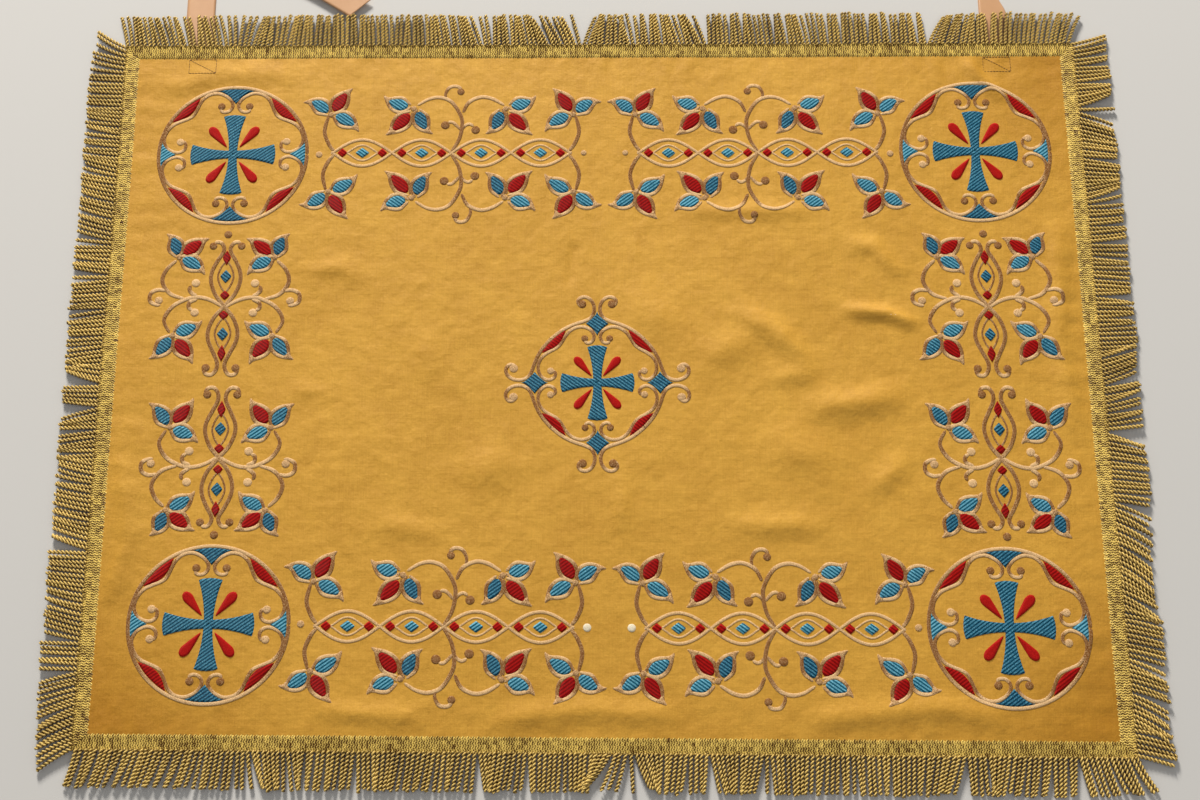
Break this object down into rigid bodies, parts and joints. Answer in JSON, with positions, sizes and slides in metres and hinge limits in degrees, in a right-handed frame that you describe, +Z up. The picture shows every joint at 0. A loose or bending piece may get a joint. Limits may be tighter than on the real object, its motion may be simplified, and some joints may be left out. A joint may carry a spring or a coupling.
{
  "type": "embroidered chalice veil",
  "caption": "Embroidered church veil with cross medallions, vine borders, bullion fringe and ribbon ties.",
  "frame": {"origin": "centre of the lining underside, where the laid veil meets the table", "axes": "+X along the long side, +Y towards the edge that carries the ties, +Z up out of the embroidered face"},
  "size_m": [0.898, 0.79, 0.0032],
  "materials": {
    "cloth": "satin-faced weave, soft sheen",
    "lining": "plain satin lining",
    "interlining": "matte cotton felt",
    "header": "woven metallic thread",
    "bullion": "twisted metallic cord",
    "ribbon": "satin ribbon",
    "gold_thread": "satin stitch in glossy thread",
    "blue_thread": "satin stitch in glossy thread",
    "red_thread": "satin stitch in glossy thread",
    "sewing_thread": "matte sewing thread"
  },
  "bodies": {
    "veil": {"blue_cross_bottom_left": "blue_thread", "blue_cross_bottom_right": "blue_thread", "blue_cross_centre": "blue_thread", "blue_cross_top_left": "blue_thread", "blue_cross_top_right": "blue_thread", "face_cloth": "cloth", "gold_outline_bottom_left": "gold_thread", "gold_outline_bottom_right": "gold_thread", "gold_outline_centre": "gold_thread", "gold_outline_top_left": "gold_thread", "gold_outline_top_right": "gold_thread", "header_bottom_left": "header", "header_bottom_right": "header", "header_left": "header", "header_right": "header", "header_top": "header", "interlining": "interlining", "left_tie_sewn_end": "ribbon", "left_tie_stitching": "sewing_thread", "lining": "lining", "red_petal_bottom_left_1": "red_thread", "red_petal_bottom_left_2": "red_thread", "red_petal_bottom_left_3": "red_thread", "red_petal_bottom_left_4": "red_thread", "red_petal_bottom_right_1": "red_thread", "red_petal_bottom_right_2": "red_thread", "red_petal_bottom_right_3": "red_thread", "red_petal_bottom_right_4": "red_thread", "red_petal_centre_1": "red_thread", "red_petal_centre_2": "red_thread", "red_petal_centre_3": "red_thread", "red_petal_centre_4": "red_thread", "red_petal_top_left_1": "red_thread", "red_petal_top_left_2": "red_thread", "red_petal_top_left_3": "red_thread", "red_petal_top_left_4": "red_thread", "red_petal_top_right_1": "red_thread", "red_petal_top_right_2": "red_thread", "red_petal_top_right_3": "red_thread", "red_petal_top_right_4": "red_thread", "right_tie_sewn_end": "ribbon", "right_tie_stitching": "sewing_thread", "strands_bottom_left": "bullion", "strands_bottom_right": "bullion", "strands_left": "bullion", "strands_right": "bullion", "strands_top": "bullion", "vine_bottom_left": "gold_thread", "vine_bottom_right": "gold_thread", "vine_left_lower": "gold_thread", "vine_left_upper": "gold_thread", "vine_right_lower": "gold_thread", "vine_right_upper": "gold_thread", "vine_top_left": "gold_thread", "vine_top_right": "gold_thread"},
    "left_free_tie": {"left_tie": "ribbon"},
    "right_free_tie": {"right_tie": "ribbon"}
  },
  "joints": [
    {"name": "left_tie_fold", "type": "hinge", "parent": "veil", "child": "left_free_tie", "pos_m": [-0.354, 0.343, 0.0034], "axis": [1, 0, 0], "range_deg": [0, 175]},
    {"name": "right_tie_fold", "type": "hinge", "parent": "veil", "child": "right_free_tie", "pos_m": [0.343, 0.343, 0.0034], "axis": [1, 0, 0], "range_deg": [0, 175]}
  ]
}
